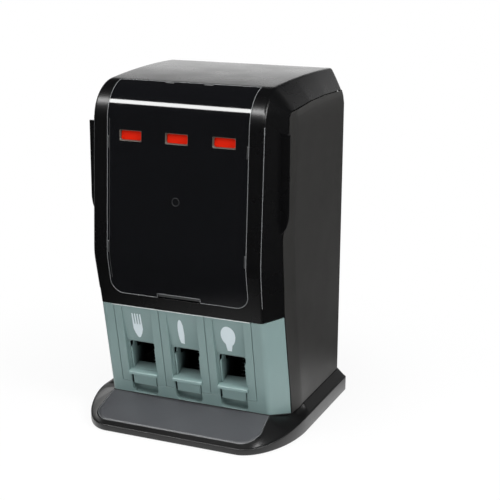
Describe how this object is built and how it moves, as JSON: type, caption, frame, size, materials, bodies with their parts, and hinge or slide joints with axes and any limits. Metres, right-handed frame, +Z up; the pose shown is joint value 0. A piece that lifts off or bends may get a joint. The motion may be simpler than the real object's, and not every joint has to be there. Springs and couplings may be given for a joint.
{
  "type": "cutlery dispenser",
  "caption": "Countertop cutlery dispenser with press levers at the foot of each lane, a lift-up front door and a wide, low tray base.",
  "frame": {"origin": "on the ground under the middle of the base", "axes": "+Z up; the front faces -Y; +X is on the right as seen from the front"},
  "size_m": [0.2896, 0.2642, 0.4445],
  "materials": {
    "gloss_black": "high gloss moulded",
    "satin_black": "satin moulded",
    "matt_dark_grey": "fine-textured moulded",
    "matt_black": "fine-textured moulded",
    "sage_green": "satin moulded",
    "pale_print": "flat inlay",
    "red_flag": "satin moulded",
    "natural_black": "as moulded",
    "white_acetal": "satin moulded",
    "bright_steel": "bright zinc",
    "black_rubber": "soft matt"
  },
  "bodies": {
    "housing": {"base_tray": "matt_black", "foot_front_left": "black_rubber", "foot_front_right": "black_rubber", "foot_rear_left": "black_rubber", "foot_rear_right": "black_rubber", "base_screw_front_left": "bright_steel", "base_screw_front_right": "bright_steel", "base_screw_rear_left": "bright_steel", "base_screw_rear_right": "bright_steel", "side_panel_left": "matt_dark_grey", "side_panel_right": "matt_dark_grey", "rear_panel": "matt_dark_grey", "rear_screw_low_left": "bright_steel", "rear_screw_low_right": "bright_steel", "rear_screw_high_left": "bright_steel", "rear_screw_high_right": "bright_steel", "front_hood": "satin_black", "fascia": "sage_green", "lane_bezel_fork": "sage_green", "lane_bezel_knife": "sage_green", "lane_bezel_spoon": "sage_green", "chute_fork": "sage_green", "chute_knife": "sage_green", "chute_spoon": "sage_green", "icon_fork": "pale_print", "icon_knife": "pale_print", "icon_spoon": "pale_print", "chassis_deck": "natural_black", "lever_axle": "bright_steel", "lane_divider_1": "natural_black", "lane_divider_2": "natural_black", "lane_divider_3": "natural_black", "lane_divider_4": "natural_black", "magazine_back": "natural_black", "lever_spring_fork": "bright_steel", "lever_spring_knife": "bright_steel", "lever_spring_spoon": "bright_steel"},
    "door": {"front_door": "gloss_black", "hinge_pin_left": "bright_steel", "hinge_pin_right": "bright_steel", "latch_pin": "bright_steel", "flag_rod": "bright_steel"},
    "latch": {"door_latch": "satin_black"},
    "flag_fork_body": {"flag_fork": "red_flag"},
    "flag_knife_body": {"flag_knife": "red_flag"},
    "flag_spoon_body": {"flag_spoon": "red_flag"},
    "lever_fork_body": {"lever_fork": "sage_green"},
    "lever_knife_body": {"lever_knife": "sage_green"},
    "lever_spoon_body": {"lever_spoon": "sage_green"},
    "shuttle_fork_body": {"shuttle_fork": "white_acetal"},
    "shuttle_knife_body": {"shuttle_knife": "white_acetal"},
    "shuttle_spoon_body": {"shuttle_spoon": "white_acetal"}
  },
  "joints": [
    {"name": "door_lift", "type": "hinge", "parent": "housing", "child": "door", "pos_m": [0, -0.0635, 0.43795], "axis": [-1, 0, 0], "range_deg": [0, 95]},
    {"name": "latch_push", "type": "hinge", "parent": "door", "child": "latch", "pos_m": [0, -0.09476, 0.18745], "axis": [1, 0, 0], "range_deg": [0, 12], "stiffness_Nm_per_rad": 0.02, "springref_deg": -11.46},
    {"name": "flag_fork_tip", "type": "hinge", "parent": "door", "child": "flag_fork_body", "pos_m": [-0.0617, -0.09314, 0.3915], "axis": [1, 0, 0], "range_deg": [0, 40], "stiffness_Nm_per_rad": 0.001, "springref_deg": -20.05},
    {"name": "flag_knife_tip", "type": "hinge", "parent": "door", "child": "flag_knife_body", "pos_m": [0, -0.09314, 0.3915], "axis": [1, 0, 0], "range_deg": [0, 40], "stiffness_Nm_per_rad": 0.001, "springref_deg": -20.05},
    {"name": "flag_spoon_tip", "type": "hinge", "parent": "door", "child": "flag_spoon_body", "pos_m": [0.0617, -0.09314, 0.3915], "axis": [1, 0, 0], "range_deg": [0, 40], "stiffness_Nm_per_rad": 0.001, "springref_deg": -20.05},
    {"name": "lever_fork_press", "type": "hinge", "parent": "housing", "child": "lever_fork_body", "pos_m": [-0.0628, -0.0581, 0.058], "axis": [1, 0, 0], "range_deg": [0, 22], "stiffness_Nm_per_rad": 0.15, "springref_deg": -17.19, "deforming": ["lever_spring_fork"]},
    {"name": "lever_knife_press", "type": "hinge", "parent": "housing", "child": "lever_knife_body", "pos_m": [0, -0.0581, 0.058], "axis": [1, 0, 0], "range_deg": [0, 22], "stiffness_Nm_per_rad": 0.15, "springref_deg": -17.19, "deforming": ["lever_spring_knife"]},
    {"name": "lever_spoon_press", "type": "hinge", "parent": "housing", "child": "lever_spoon_body", "pos_m": [0.0628, -0.0581, 0.058], "axis": [1, 0, 0], "range_deg": [0, 22], "stiffness_Nm_per_rad": 0.15, "springref_deg": -17.19, "deforming": ["lever_spring_spoon"]},
    {"name": "shuttle_fork_slide", "type": "slide", "parent": "housing", "child": "shuttle_fork_body", "axis": [0, -1, 0], "range_m": [0, 0.0146]},
    {"name": "shuttle_knife_slide", "type": "slide", "parent": "housing", "child": "shuttle_knife_body", "axis": [0, -1, 0], "range_m": [0, 0.0146]},
    {"name": "shuttle_spoon_slide", "type": "slide", "parent": "housing", "child": "shuttle_spoon_body", "axis": [0, -1, 0], "range_m": [0, 0.0146]}
  ],
  "couplings": [
    {"joint": "shuttle_fork_slide", "follows": "lever_fork_press", "m_per_rad": 0.038},
    {"joint": "shuttle_knife_slide", "follows": "lever_knife_press", "m_per_rad": 0.038},
    {"joint": "shuttle_spoon_slide", "follows": "lever_spoon_press", "m_per_rad": 0.038}
  ]
}
